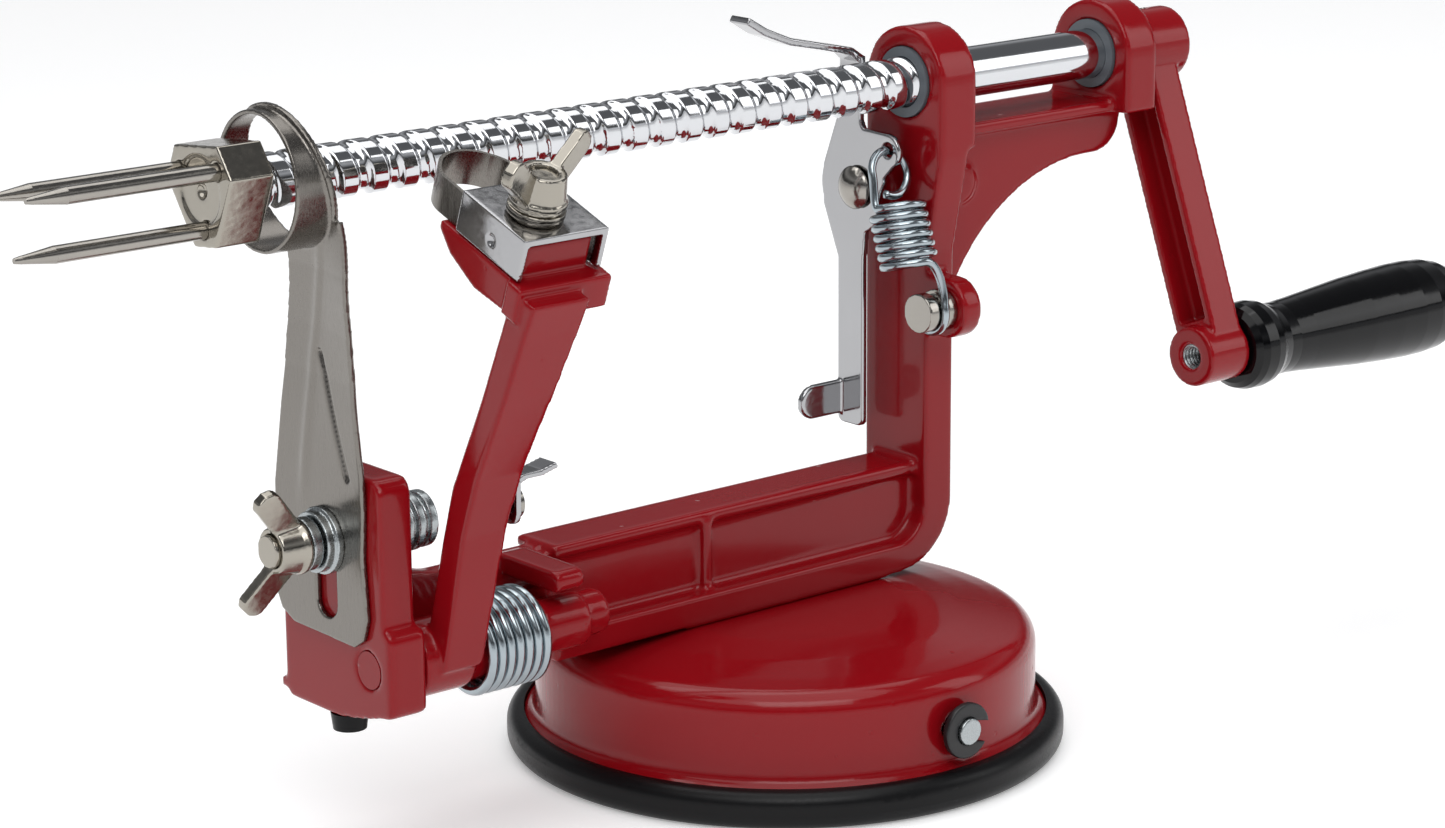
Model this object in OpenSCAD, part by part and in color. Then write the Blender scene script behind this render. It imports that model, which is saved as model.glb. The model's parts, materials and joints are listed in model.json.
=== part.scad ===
// Apple peeler, corer and slicer with a suction base.
// Millimetres. +X runs along the drive screw from the fork to the crank, +Z is up,
// and the origin is the centre of the suction base on the table.

/* [View] */
// Sub-part to show, or all of them

/* [Drive screw] */
// Height of the screw axis above the table
screw_z = 126; // [110:1:150]
// Sideways offset of the screw axis from the base centre
screw_y = 5; // [0:0.5:10]
// Diameter over the thread crests
screw_d = 10; // [8:0.1:12]
// Travel of the screw for one turn of the crank
pitch = 6.5; // [5:0.1:8]
// Depth of the rounded thread groove
groove_depth = 0.8; // [0.4:0.1:1.2]

/* [Fork] */
// Diameter of one fork prong
prong_d = 3.1; // [2.5:0.1:4]
// Distance of each prong from the screw axis
prong_r = 6.8; // [6.4:0.1:8]
// Free end of the prongs along X
prong_tip_x = -164; // [-170:1:-150]
// Length of the fork hub along X
hub_len = 9; // [8:0.5:12]

/* [Frame] */
// Underside of the beam above the table
beam_z = 28; // [26:0.5:34]
// Height of the beam's lower flange
flange_h = 5.7; // [4:0.1:8]
// Front face of the beam and column
front_y = -1.8; // [-4:0.1:0]
// Rear face of the beam and column
back_y = 16; // [14:0.5:20]
// Left face of the column
column_x = 35.6; // [30:0.1:40]
// Thickness of the column along X
column_t = 7.6; // [6:0.1:10]
// Radius of the two bearing lugs
lug_r = 11; // [9:0.1:13]
// Left face of the end plate that carries the coring blade
plate_x = -103; // [-108:0.5:-98]
// Thickness of the end plate
plate_t = 7; // [5:0.5:9]

/* [Paring arm] */
// Distance of the arm's pivot from the base centre along Y
pivot_y = -5.6; // [-8:0.1:-4]
// Height of the arm's pivot above the table
pivot_z = 37.3; // [34:0.1:42]
// Diameter of the pivot rod
rod_d = 7; // [5:0.1:8]
// Slope of the arm's head towards the front, in degrees
head_tilt = 20; // [10:1:30]

/* [Coring blade] */
// Outside diameter of the coring ring
ring_d = 25.6; // [22:0.1:30]
// Thickness of the blade sheet
sheet_t = 1.2; // [0.8:0.1:2]
// Length of the coring ring along X
ring_len = 12; // [8:0.5:16]

/* [Crank] */
// Centre distance between the two crank hubs
crank_len = 65.4; // [55:0.1:80]
// Lean of the crank from straight down, in degrees
crank_lean = 20.6; // [0:0.1:40]

/* [Base] */
// Outside radius of the rubber ring
base_r = 55; // [50:0.5:60]
// Radius of the metal dome's side wall
dome_r = 49.3; // [45:0.1:52]
// Height of the dome's top edge
dome_z = 25; // [20:0.5:30]
// Height of the cam shaft above the table
cam_z = 14.5; // [12:0.1:18]

/* [Hidden] */
$fn = 0;
$fa = 6;
$fs = 0.5;
clear = 0.05;
screw_r = screw_d / 2;
journal_r = screw_r + 0.05;
bush_r = 7;
column_x2 = column_x + column_t;
lug_x2 = column_x + 9.6;
rear_x1 = 87.2;
rear_x2 = 96;
shelf_z1 = 114.6;
shelf_z2 = 117;
ring_x = plate_x - sheet_t;
hub_x = -118.3 - hub_len;
crank_y = screw_y - crank_len * sin(crank_lean);
crank_z = screw_z - crank_len * cos(crank_lean);
head_y = -27;
head_z = 115.3;
blade_bolt_z = 59.6;

red = [0.55, 0.03, 0.06];
steel = [0.75, 0.75, 0.76];
nickel = [0.72, 0.69, 0.62];
zinc = [0.66, 0.70, 0.73];
black = [0.05, 0.05, 0.05];
grey = [0.35, 0.37, 0.39];

// Cylinder along +X from x1 to x2 about the line at (y, z).
module xcyl(x1, x2, r, y, z) {
  translate([x1, y, z]) rotate([0, 90, 0]) cylinder(r = r, h = x2 - x1);
}

// Cylinder along +Y from y1 to y2 about the line at (x, z).
module ycyl(y1, y2, r, x, z) {
  translate([x, y1, z]) rotate([-90, 0, 0]) cylinder(r = r, h = y2 - y1);
}

// A profile drawn in (X, Z), given its thickness from y1 to y2.
module xz_plate(y1, y2) {
  translate([0, y2, 0]) rotate([90, 0, 0]) linear_extrude(height = y2 - y1) children();
}

// A profile drawn in (Y, Z), given its thickness from x1 to x2.
module yz_plate(x1, x2) {
  translate([x1, 0, 0]) rotate([90, 0, 90]) linear_extrude(height = x2 - x1) children();
}

// The same list the other way round.
function turned(f) = [for (i = [len(f) - 1 : -1 : 0]) f[i]];

// Rectangle between two corners.
module box2(a1, b1, a2, b2) {
  translate([a1, b1]) square([a2 - a1, b2 - b1]);
}

// Rectangle between two corners with all four corners rounded.
module round2(a1, b1, a2, b2, r) {
  box2(a1 + r, b1, a2 - r, b2);
  box2(a1, b1 + r, a2, b2 - r);
  translate([a1 + r, b1 + r]) circle(r = r);
  translate([a2 - r, b1 + r]) circle(r = r);
  translate([a1 + r, b2 - r]) circle(r = r);
  translate([a2 - r, b2 - r]) circle(r = r);
}

// Solid box between two opposite corners.
module block(a, b) {
  translate(a) cube([b[0] - a[0], b[1] - a[1], b[2] - a[2]]);
}

// Quarter-round filler between a floor and a wall, in (a, b).
module fillet2(a, b, r, sa, sb) {
  difference() {
    box2(min(a, a + sa * r), min(b, b + sb * r), max(a, a + sa * r), max(b, b + sb * r));
    translate([a + sa * r, b + sb * r]) circle(r = r);
  }
}

// Unit vector along v.
function unit(v) = v / norm(v);

// Direction of a path at each of its points.
function headings(p) =
  [for (i = [0 : len(p) - 1]) unit(p[min(i + 1, len(p) - 1)] - p[max(i - 1, 0)])];

// A steady sideways direction carried along those headings.
function sides_of(t, n0) =
  [for (i = 0, n = unit(n0 - (n0 * t[0]) * t[0]); i < len(t);
    i = i + 1, n = i < len(t) ? unit(n - (n * t[i]) * t[i]) : n) n];

// Smooth link between two points with given end directions.
function link(p0, d0, p1, d1, n) =
  [for (i = [1 : n - 1]) let (s = i / n)
    p0 * (2 * s * s * s - 3 * s * s + 1) + d0 * (s * s * s - 2 * s * s + s)
    + p1 * (3 * s * s - 2 * s * s * s) + d1 * (s * s * s - s * s)];

// Round wire of radius r along a path, closed with flat ends.
module wire_path(p, r, sides, n0) {
  t = headings(p);
  n = sides_of(t, n0);
  last = len(p) - 1;
  pts = [for (i = [0 : last]) for (j = [0 : sides - 1])
    let (a = 360 * j / sides) p[i] + r * (cos(a) * n[i] + sin(a) * cross(t[i], n[i]))];
  walls = [for (i = [0 : last - 1]) for (j = [0 : sides - 1])
    let (k = (j + 1) % sides)
    [i * sides + j, (i + 1) * sides + j, (i + 1) * sides + k, i * sides + k]];
  head = [for (j = [0 : sides - 1]) j];
  tail = [for (j = [sides - 1 : -1 : 0]) last * sides + j];
  polyhedron(points = pts, faces = concat(walls, [tail], [head]), convexity = 8);
}

// Outline of the L-shaped flange: lower flange and column with a round outer corner.
module l_flange() {
  difference() {
    union() {
      box2(-58, beam_z, column_x2, beam_z + flange_h);
      box2(column_x, beam_z, column_x2, shelf_z2);
      fillet2(column_x, beam_z + flange_h, 7, -1, 1);
    }
    difference() {
      box2(column_x2 - 14, beam_z - 1, column_x2 + 1, beam_z + 14);
      translate([column_x2 - 14, beam_z + 14]) circle(r = 14);
    }
  }
}

// End plate outline in (Y, Z) with its upper post and curved lower edge.
module end_plate2() {
  difference() {
    union() {
      round2(-12, 26, 21, 46, 2.5);
      round2(-10.6, 34, 19.5, 73, 3);
    }
    difference() {
      box2(-20, 20, 30, 34);
      translate([14, 105.6]) circle(r = 80);
    }
  }
  box2(20, 27.5, 22.6, 29.5);
}

module frame_casting() {
  color(red) difference() {
    union() {
      xz_plate(front_y, back_y) l_flange();
      // Rear half of the lower flange runs on to the end plate.
      block([plate_x + plate_t - 1, 5.5, beam_z], [-57, back_y, beam_z + flange_h]);
      // Web and upper flange of the beam.
      block([plate_x + plate_t - 1, 5.5, beam_z + 2], [column_x + 1, 9.5, 48.5]);
      xz_plate(2.2, 9.5) box2(-57.5, beam_z + 2, column_x + 1, 48);
      xz_plate(0.8, 13) round2(-56, 47, column_x + 2, 49.4, 1);
      // Stiffening rib in the middle of the beam.
      block([-20, 0.4, beam_z + flange_h - 1], [-17.8, 3, 47.5]);
      // Gusset between the end plate and the beam.
      xz_plate(5.5, 9.5) polygon([[-98, 46], [-80, 46], [-80, 48.5], [-92, 51], [-98, 52.4]]);
      // End plate, with the pivot lug at its front edge.
      yz_plate(plate_x, plate_x + plate_t) end_plate2();
      yz_plate(plate_x + 0.4, plate_x + plate_t + 0.9) round2(-12.6, 29, -2, 45.6, 2.5);
      // Boss that takes the inner end of the pivot rod.
      xcyl(-66.5, -56, 5.2, pivot_y, pivot_z);
      xcyl(-57, -50, 4.4, pivot_y + 1.5, pivot_z);
      block([-66.5, pivot_y, pivot_z - 5.2], [-56, 6.5, pivot_z + 4]);
      // Finger that stops the spring leg.
      difference() {
        union() {
          block([-65, -10, 45], [-58.5, 6.5, 49]);
          translate([-65, -10, 47]) rotate([0, 90, 0]) cylinder(r = 2, h = 6.5);
        }
        block([-66, -20, 44], [-57, -12, 50]);
      }
      // Front bearing lug growing out of the column.
      xcyl(column_x, lug_x2, lug_r, screw_y, screw_z);
      yz_plate(column_x, column_x2) polygon([[front_y, 92], [screw_y - lug_r, 112],
        [screw_y - lug_r, screw_z], [back_y, screw_z], [back_y, 92]]);
      yz_plate(column_x, lug_x2) polygon([[screw_y - lug_r, 113], [screw_y - lug_r, screw_z],
        [back_y, screw_z], [back_y, 113]]);
      // Shelf, rear bearing lug and curved bracket web.
      block([column_x + 1, front_y, shelf_z1], [rear_x2, back_y, shelf_z2]);
      xcyl(rear_x1, rear_x2, lug_r, screw_y, screw_z);
      block([rear_x1, screw_y - lug_r, shelf_z1], [rear_x2, back_y, screw_z]);
      xz_plate(1.4, 6.4) difference() {
        box2(column_x2 - 1, 76, 93, shelf_z1 + 1);
        translate([84, 63]) circle(r = 43);
        box2(83, 60, 99, 106);
        difference() {
          box2(86, 105, 94, 113);
          translate([86, 113]) circle(r = 7);
          box2(85, 113, 93, 120);
        }
      }
      // Round pad where the bracket web meets the column.
      ycyl(0.6, 3, 3.6, column_x2 + 4.6, 104.5);
      // Lug for the spring stud and pad for the release lever.
      xcyl(column_x, column_x + 5, 6, -7, 82.3);
      block([column_x, -7, 76.3], [column_x + 5, 3, 88.3]);
      xcyl(31.4, column_x + 1, 5, 12.4, 104.6);
      // Foot pad that stands on the base dome.
      translate([0, 7, 27.4]) cylinder(r = 8.6, h = 1.6);
      block([-26, front_y + 0.4, 27.4], [26, back_y - 0.4, 28.6]);
    }
    // Bores for the bushes, pivot rod, blade bolt, foot, rivet, stud and base screws.
    xcyl(column_x - 1, lug_x2 + 1, bush_r, screw_y, screw_z);
    xcyl(rear_x1 - 1, rear_x2 + 1, bush_r, screw_y, screw_z);
    xcyl(plate_x - 1, -58, rod_d / 2, pivot_y, pivot_z);
    xcyl(plate_x - 1, plate_x + plate_t + 1, 3, screw_y, blade_bolt_z);
    translate([plate_x + 3.6, 6, 20]) cylinder(r = 1.75, h = 9);
    xcyl(30, column_x + 3, 2, 12.4, 104.6);
    xcyl(column_x - 1, column_x + 3.6, 2.2, -7, 82.3);
    xcyl(-67, -62.6, 1.05, pivot_y + 8.4, pivot_z);
    for (x = [-15, 15]) translate([x, 7, 20]) cylinder(r = 2, h = 12);
  }
}

module front_bush() {
  color(grey) difference() {
    union() {
      xcyl(column_x - 0.4, lug_x2 + 0.4, bush_r, screw_y, screw_z);
    }
    xcyl(column_x - 2, lug_x2 + 2, journal_r + clear, screw_y, screw_z);
  }
}

module rear_bush() {
  color(grey) difference() {
    xcyl(rear_x1 - 0.4, rear_x2, bush_r, screw_y, screw_z);
    xcyl(rear_x1 - 2, rear_x2 + 2, journal_r + clear, screw_y, screw_z);
  }
}

module frame_foot() {
  color(black) translate([plate_x + 3.6, 6, 0]) {
    translate([0, 0, 22.8]) cylinder(r1 = 3.1, r2 = 3.5, h = 3.2);
    translate([0, 0, 25.9]) cylinder(r = 1.75, h = 3.1);
  }
}

module pivot_rod() {
  color(red) xcyl(plate_x + 0.15, -58, rod_d / 2, pivot_y, pivot_z);
}

module torsion_spring() {
  r = 8.4;
  n = 157;
  x1 = -81.7;
  x2 = -68.4;
  wound = [for (i = [0 : n]) let (a = 62 + 15 * i)
    [x1 + (x2 - x1) * i / n, pivot_y - r * sin(a), pivot_z + r * cos(a)]];
  // Each end turns along X: one into the side of the arm, one into the frame's boss.
  arm_end = [x1 - 1.1, pivot_y - r * sin(45), pivot_z + r * cos(45)];
  boss_end = [x2 + 1.5, pivot_y + r, pivot_z];
  into_arm = link(arm_end, [3, 0, 0], wound[0], [0.3, -1, -2.2], 5);
  into_boss = link(wound[n], [0.3, 0.3, 2.2], boss_end, [3, 0, 0], 5);
  color(zinc) wire_path(concat([arm_end - [3.6, 0, 0], arm_end], into_arm, wound, into_boss,
    [boss_end, boss_end + [3.4, 0, 0]]), 0.95, 8, [0, 1, 0]);
}

module blade_bolt() {
  color(steel) union() {
    xcyl(-116.5, plate_x + plate_t + 12, 3, screw_y, blade_bolt_z);
  }
}

module blade_lock_nut() {
  color(zinc) difference() {
    union() {
      xcyl(plate_x + plate_t, plate_x + plate_t + 1.6, 6, screw_y, blade_bolt_z);
      // Long barrel with four ribs round it.
      xcyl(plate_x + plate_t + 1.5, plate_x + plate_t + 12.6, 4.5, screw_y, blade_bolt_z);
      for (i = [0 : 3]) xcyl(plate_x + plate_t + 3 + 2.8 * i, plate_x + plate_t + 4.8 + 2.8 * i,
        5.9 - 0.2 * i, screw_y, blade_bolt_z);
    }
    xcyl(plate_x, plate_x + plate_t + 15, 3, screw_y, blade_bolt_z);
  }
}

module spring_stud() {
  color(steel) translate([0, -7, 82.3]) rotate([0, 90, 0]) {
    translate([0, 0, 28.6]) cylinder(r = 3.9, h = 2.6);
    translate([0, 0, 31]) cylinder(r = 3, h = 2.4);
    translate([0, 0, 33.2]) cylinder(r = 4.2, h = column_x - 33.2);
    translate([0, 0, column_x - 0.1]) cylinder(r = 2.2, h = 3.7);
  }
}

module lever_rivet() {
  color(steel) translate([0, 12.4, 104.6]) rotate([0, 90, 0]) {
    intersection() {
      translate([0, 0, 32.4]) sphere(r = 5.6);
      translate([0, 0, 26]) cylinder(r = 4.4, h = 3.4);
    }
    translate([0, 0, 29]) cylinder(r = 2, h = column_x + 3 - 29);
  }
}

// Outside profile of the dome, from the top centre down to the flange.
function dome_arc(cr, cz, r, a1, a2, n) =
  [for (i = [0 : n]) let (a = a1 + (a2 - a1) * i / n) [cr + r * cos(a), cz + r * sin(a)]];

module base_dome() {
  color(red) difference() {
    rotate_extrude() union() {
      difference() {
        polygon(concat([[0, 7], [0, 27.4], [24, 27.4], [34, 26.6], [42, 25.5]],
          dome_arc(dome_r - 4.6, dome_z - 4.6, 4.6, 72, 0, 5),
          [[dome_r, 10.5]],
          [for (i = [0 : 4]) let (a = 180 + 90 * i / 4)
            [dome_r + 2.2 + 2 * cos(a), 9 + 2 * sin(a)]],
          [[51.6, 7], [51.6, 5.9], [46, 5.9], [46, 7]]));
        polygon([[-1, 0], [-1, 25.2], [24, 25.2], [34, 24.4], [42, 23.2], [45.2, 21.6],
          [46.9, 19], [47, 0]]);
      }
    }
    ycyl(-60, 60, 3.2, 0, cam_z);
    for (x = [-15, 15]) translate([x, 7, 20]) cylinder(r = 2.2, h = 12);
  }
}

module base_ring() {
  color(black) rotate_extrude() difference() {
    union() {
      round2(46.4, 0, base_r, 7.4, 2.8);
      box2(46.4, 0.4, 50, 5.9);
    }
    box2(40, 5.9, 51.6, 9);
  }
}

module base_screws() {
  color(zinc) for (x = [-15, 15]) translate([x, 7, 0]) {
    translate([0, 0, 22.4]) cylinder(r = 3.8, h = 2.8);
    translate([0, 0, 25.1]) cylinder(r = 2, h = 6.6);
  }
}

module stem_guide() {
  color(black) difference() {
    union() {
      difference() {
        translate([0, 0, 18.6]) cylinder(r = 9.4, h = 6.6);
        translate([0, 0, 18]) cylinder(r = 7.6, h = 6.2);
      }
    }
    translate([-20, -20, 10]) cube([1, 1, 1]);
  }
}

module cam_shaft() {
  color(steel) union() {
    ycyl(-53.4, -8.8, 2.6, 0, cam_z);
    ycyl(8.8, 57, 2.6, 0, cam_z);
    ycyl(-9, 9, 1.9, 0, cam_z - 1.5);
    ycyl(-9.6, -4.4, 2.6, 0, cam_z);
    ycyl(4.4, 9.6, 2.6, 0, cam_z);
  }
}

module cam_clip() {
  color(black) translate([0, -51.2, cam_z]) rotate([90, 0, 0]) linear_extrude(height = 1.4)
    difference() {
      circle(r = 5.4);
      circle(r = 2.6);
      rotate([0, 0, -12]) box2(0, -2, 7, 2);
    }
}

module suction_lever() {
  color(steel) xz_plate(51.6, 54.2) difference() {
    union() {
      translate([0, cam_z]) circle(r = 6);
      box2(0, cam_z - 4, 40, cam_z + 4);
      translate([40, cam_z]) circle(r = 4);
    }
    translate([0, cam_z]) circle(r = 2.6);
  }
}

module lever_sleeve() {
  color(black) difference() {
    union() {
      xz_plate(50, 55.8) round2(18, cam_z - 6, 47, cam_z + 6, 4);
    }
    xz_plate(51.6, 54.2) union() {
      box2(10, cam_z - 4, 40, cam_z + 4);
      translate([40, cam_z]) circle(r = 4);
    }
  }
}

module suction_stem() {
  color(steel) difference() {
    union() {
      block([-5, -3.6, 7], [5, 3.6, 19.4]);
      translate([0, 0, 2.6]) cylinder(r = 5, h = 5);
    }
    // Window the crank pin of the cam shaft works in.
    xz_plate(-9, 9) round2(-3.8, cam_z - 4, 3.8, cam_z + 1, 2.2);
  }
}

module suction_pad() {
  color(black) difference() {
    rotate_extrude() polygon([[0, 0], [44, 0], [45, 0.9], [44.6, 2.2], [30, 3.2],
      [9, 4.6], [8, 6.4], [0, 6.4]]);
    translate([0, 0, 2.6]) cylinder(r = 5, h = 6);
  }
}

// Sheet outline of the coring blade in (Y, Z): strip, round top and foot.
module blade_sheet2() {
  difference() {
    union() {
      translate([screw_y, screw_z]) circle(r = ring_d / 2 + 0.7);
      polygon([[10, 115], [11.7, 105.5], [15, 94.2], [17.7, 82.8], [20.7, 67.2], [21.4, 46.5],
        [19.8, 43.4], [16, 41.6], [-3, 41.2], [-5.8, 43], [-7.2, 47], [-6.4, 58], [-7.4, 73],
        [-6.8, 87], [-7.4, 98], [-8.4, 112], [-8.4, 120]]);
    }
    // Adjusting slot.
    round2(screw_y - 3.15, 45, screw_y + 3.15, 65, 3.1);
  }
}

// Side view of the blade sheet in (X, Z): flat on the plate, then leaning to the fork.
function lean(off) = [[plate_x + off, 40], [plate_x + off, 90], [plate_x - 0.6 + off, 99],
  [plate_x - 1.8 + off, 110], [plate_x - 4.6 + off, 122], [plate_x - 8.2 + off, 136],
  [plate_x - 9.4 + off, 141]];

module coring_blade() {
  half = sheet_t / 2;
  color(steel) difference() {
    union() {
      intersection() {
        yz_plate(plate_x - 15, plate_x + 3) blade_sheet2();
        xz_plate(-15, 30) polygon(concat(lean(0), turned(lean(-sheet_t))));
      }
      // Drawn collar of the coring ring, cut off along the sheet.
      intersection() {
        xcyl(plate_x - ring_len - 0.8, plate_x, ring_d / 2 - 0.2, screw_y, screw_z);
        xz_plate(-15, 30) polygon(concat(lean(-half), [[plate_x - 20, 141], [plate_x - 20, 40]]));
      }
    }
    // Pressed groove next to the cutting edge.
    yz_plate(plate_x - sheet_t - 1, plate_x - sheet_t + 0.35) polygon([[4.7, 95.2],
      [3.3, 94.8], [-3.7, 72], [-2.5, 71.6]]);
    // Hole through the coring ring.
    xcyl(plate_x - 20, plate_x + 5, ring_d / 2 - 1, screw_y, screw_z);
  }
}

module blade_washers() {
  color(zinc) difference() {
    union() {
      xcyl(plate_x - sheet_t - 1.3, plate_x - sheet_t, 6.2, screw_y, blade_bolt_z);
      xcyl(plate_x - sheet_t - 3.0, plate_x - sheet_t - 1.7, 5.6, screw_y, blade_bolt_z);
      xcyl(plate_x - sheet_t - 5.4, plate_x - sheet_t - 3.4, 4.9, screw_y, blade_bolt_z);
    }
    xcyl(-120, -90, 3, screw_y, blade_bolt_z);
  }
}

// Wing nut along +Z with its seat at z = 0 and its two wings along X.
module wing_nut(bore) {
  difference() {
    union() {
      cylinder(r1 = 5, r2 = 4.1, h = 5.8);
      cylinder(r = 5.2, h = 1.1);
      for (s = [0, 180]) rotate([0, 0, s]) translate([0, 1.1, 0]) rotate([90, 0, 0])
        linear_extrude(height = 2.2)
          polygon([[2, 0.6], [4.8, 0.6], [12, 6.4], [12.6, 7.6], [12.2, 9.2], [10.8, 10.6],
            [9.2, 10.6], [3, 5.6]]);
    }
    translate([0, 0, -1]) cylinder(r = bore, h = 20);
  }
}

module blade_wing_nut() {
  color(nickel) translate([plate_x - sheet_t - 5.6, screw_y, blade_bolt_z])
    rotate([0, -90, 0]) rotate([0, 0, -17]) wing_nut(3.05);
}

// Places geometry drawn in the head's own (X, along the slope, normal) frame.
module at_head() {
  translate([0, head_y, head_z]) rotate([head_tilt, 0, 0]) children();
}

module paring_arm() {
  color(red) difference() {
    union() {
      // Pivot tube: wide collar, then the part the spring runs on.
      xcyl(-94.9, -83.9, 7, pivot_y, pivot_z);
      xcyl(-84, -67, 6.2, pivot_y, pivot_z);
      // Arm between the tube and the head, widening towards the top.
      difference() {
        yz_plate(-92, -79.6) polygon([[-1, 42], [-9, 44.5], [-13.8, 61.3], [-17, 71.5],
          [-26.2, 89.2], [-34, 106], [-30, 112], [-42, 108], [-38.8, 102], [-33, 90],
          [-24.6, 74], [-20, 62.6], [-13.2, 36]]);
        translate([-83.4, 0, 30]) rotate([0, 2, 0]) translate([0, -60, 0])
          cube([20, 80, 52]);
        translate([-81.6, -60, 81]) rotate([0, 5, 0]) cube([20, 80, 24]);
      }
      // Head with a wide front edge and a raised ridge for the blade's two legs.
      at_head() yz_plate(-92, -74) polygon([[-12.5, 0], [-13, -6.4], [0, -7], [8, -4.6],
        [12, -1.6], [12, 0]]);
      at_head() translate([-93, -13.4, -6.3]) cube([20, 4, 6.3]);
      at_head() translate([-90, -9.6, -1]) cube([14, 18.6, 7.1]);
    }
    xcyl(-96, -66, rod_d / 2 + clear, pivot_y, pivot_z);
    at_head() translate([-83, -1.6, -1.5]) cylinder(r = 2.45, h = 14);
    xcyl(-85, -78, 1.55, -18.4, 67);
    xcyl(-87.4, -82, 1.05, pivot_y - 8.4 * sin(45), pivot_z + 8.4 * cos(45));
  }
}

module arm_catch() {
  color(steel) difference() {
    union() {
      yz_plate(-81.5, -80.5) round2(-22, 63.5, -15, 73.5, 2);
      translate([0, -21, 0]) xz_plate(0, 5) polygon([[-81.5, 66], [-80.5, 66],
        [-80.5, 70.5], [-78.4, 71.4], [-74.5, 71.5], [-71.4, 72.3], [-71.6, 73.3],
        [-74.9, 72.5], [-78.9, 72.4], [-81, 71.5], [-81.5, 70.5]]);
    }
    xcyl(-86, -78, 1.6, -18.4, 67);
  }
}

module catch_rivet() {
  color(steel) union() {
    xcyl(-85, -80.3, 1.55, -18.4, 67);
    xcyl(-80.3, -79.2, 3, -18.4, 67);
  }
}

module paring_blade() {
  color(steel) at_head() difference() {
    union() {
      translate([0, 0, 0.2]) linear_extrude(height = 6.6) difference() {
        union() {
          translate([-83, 14]) circle(r = 7.9);
          box2(-90.9, -8.5, -75.1, 14);
          translate([-83, 15.6]) circle(r = 6.9);
        }
        translate([-83, 14]) circle(r = 7.2);
        translate([-83, 15.6]) circle(r = 6.2);
        box2(-90.2, -9, -75.8, 14);
      }
    }
  }
}

module blade_clamp() {
  color(steel) at_head() difference() {
    translate([-92, -11, 0.4]) cube([18, 18.6, 7.8]);
    translate([-90.95, -12, -1]) cube([15.9, 21, 7.9]);
    // Slot that lets the blade and clamp slide on the bolt.
    linear_extrude(height = 12) round2(-85.6, -4.2, -80.4, 3.5, 2.59);
    translate([-92.6, -2.2, 3.6]) sphere(r = 1.3);
  }
}

module clamp_bolt() {
  color(nickel) at_head() translate([-83, -1.6, -1.5]) cylinder(r = 2.45, h = 16.4);
}

module clamp_washers() {
  color(nickel) at_head() difference() {
    union() {
      translate([-83, -1.6, 8.2]) cylinder(r = 5.2, h = 0.7);
      translate([-83, -1.6, 8.8]) cylinder(r = 4.5, h = 0.9);
    }
    translate([-83, -1.6, 0]) cylinder(r = 2.45, h = 20);
  }
}

module clamp_wing_nut() {
  color(nickel) at_head() translate([-83, -1.6, 9.8]) rotate([0, 0, 20]) wing_nut(2.5);
}

module thrust_washer() {
  color([0.85, 0.84, 0.8]) difference() {
    xcyl(rear_x2 + 0.2, rear_x2 + 1.1, 7, screw_y, screw_z);
    xcyl(rear_x2 - 1, rear_x2 + 3, journal_r + clear, screw_y, screw_z);
  }
}

// Screw bar as one closed surface: a plain end, a right-handed helical groove from x1 for
// a number of turns, and the journal on to x3. Corners are numbered along X, then around.
module screw_bar(x0, x1, turns, x3) {
  cols = 24;
  offs = [0, 3.7, 4.5, 5.7];
  rads = [screw_r, screw_r, screw_r - groove_depth, screw_r - groove_depth];
  m = 4 * turns;
  row = m + 7;
  x2 = x1 + pitch * (turns + 1);
  ends = [[x0, journal_r], [x1 - 1, journal_r], [x1 - 0.8, screw_r],
    [x2, screw_r], [x2 + 0.2, journal_r], [x3, journal_r]];
  pts = [for (k = [0 : cols - 1]) for (i = [0 : row - 1])
    let (a = 360 * k / cols, h = i - 3,
      p = i < 3 ? ends[i] : i > m + 3 ? ends[i - m - 1]
        : [x1 + pitch * k / cols + pitch * floor(h / 4) + offs[h % 4], rads[h % 4]])
    [p[0], p[1] * cos(a), p[1] * sin(a)]];
  walls = [for (k = [0 : cols - 2]) for (i = [0 : row - 2]) for (h = [0, 1])
    [k * row + i, (k + 1) * row + i + h, (h ? k : k + 1) * row + i + 1]];
  b = (cols - 1) * row;
  plain = [for (i = [0, 1, m + 4, m + 5]) [b + i, i, i + 1, b + i + 1]];
  seam = [for (i = [3 : m - 2]) for (h = [0, 1])
    [b + i, i + 4 + h, h ? b + i + 1 : i + 5]];
  left = [for (k = [cols - 1 : -1 : 0]) k * row];
  right = [for (k = [0 : cols - 1]) k * row + row - 1];
  start = [[b + 2, 2, 3, 4, 7, b + 3], [4, 5, 6, 7]];
  e = b + m;
  stop = [[m + 4, e + 4, e + 3, e, e - 1, m + 3], [e, e + 3, e + 2, e + 1]];
  skin = concat(walls, plain, seam, [left], [right], start, stop);
  polyhedron(points = pts, faces = [for (f = skin) turned(f)], convexity = 10);
}

module drive_screw() {
  color(steel) translate([0, screw_y, screw_z])
    screw_bar(hub_x + 4.4, -117.6, 23, 108.2);
}

// Prong directions around the axis, in degrees from +Y towards +Z.
function prong_at(i) = [screw_y + prong_r * cos(24 + 120 * i),
  screw_z + prong_r * sin(24 + 120 * i)];

module fork_hub() {
  color(steel) difference() {
    yz_plate(hub_x, hub_x + hub_len) intersection() {
      translate([screw_y, screw_z]) circle(r = 10.4);
      translate([screw_y, screw_z]) rotate(24) circle(r = 15.6, $fn = 3);
      translate([screw_y, screw_z]) rotate(-36) circle(r = 19.6, $fn = 3);
    }
    // Shallow dish and centre mark in the end face.
    xcyl(hub_x - 1, hub_x + 0.5, 6.2, screw_y, screw_z);
    translate([hub_x + 0.2, screw_y, screw_z]) sphere(r = 1.5);
    xcyl(hub_x + 4.4, hub_x + hub_len + 5, journal_r, screw_y, screw_z);
    for (i = [0 : 2]) xcyl(hub_x - 1, hub_x + 4, prong_d / 2, prong_at(i)[0], prong_at(i)[1]);
  }
}

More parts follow.
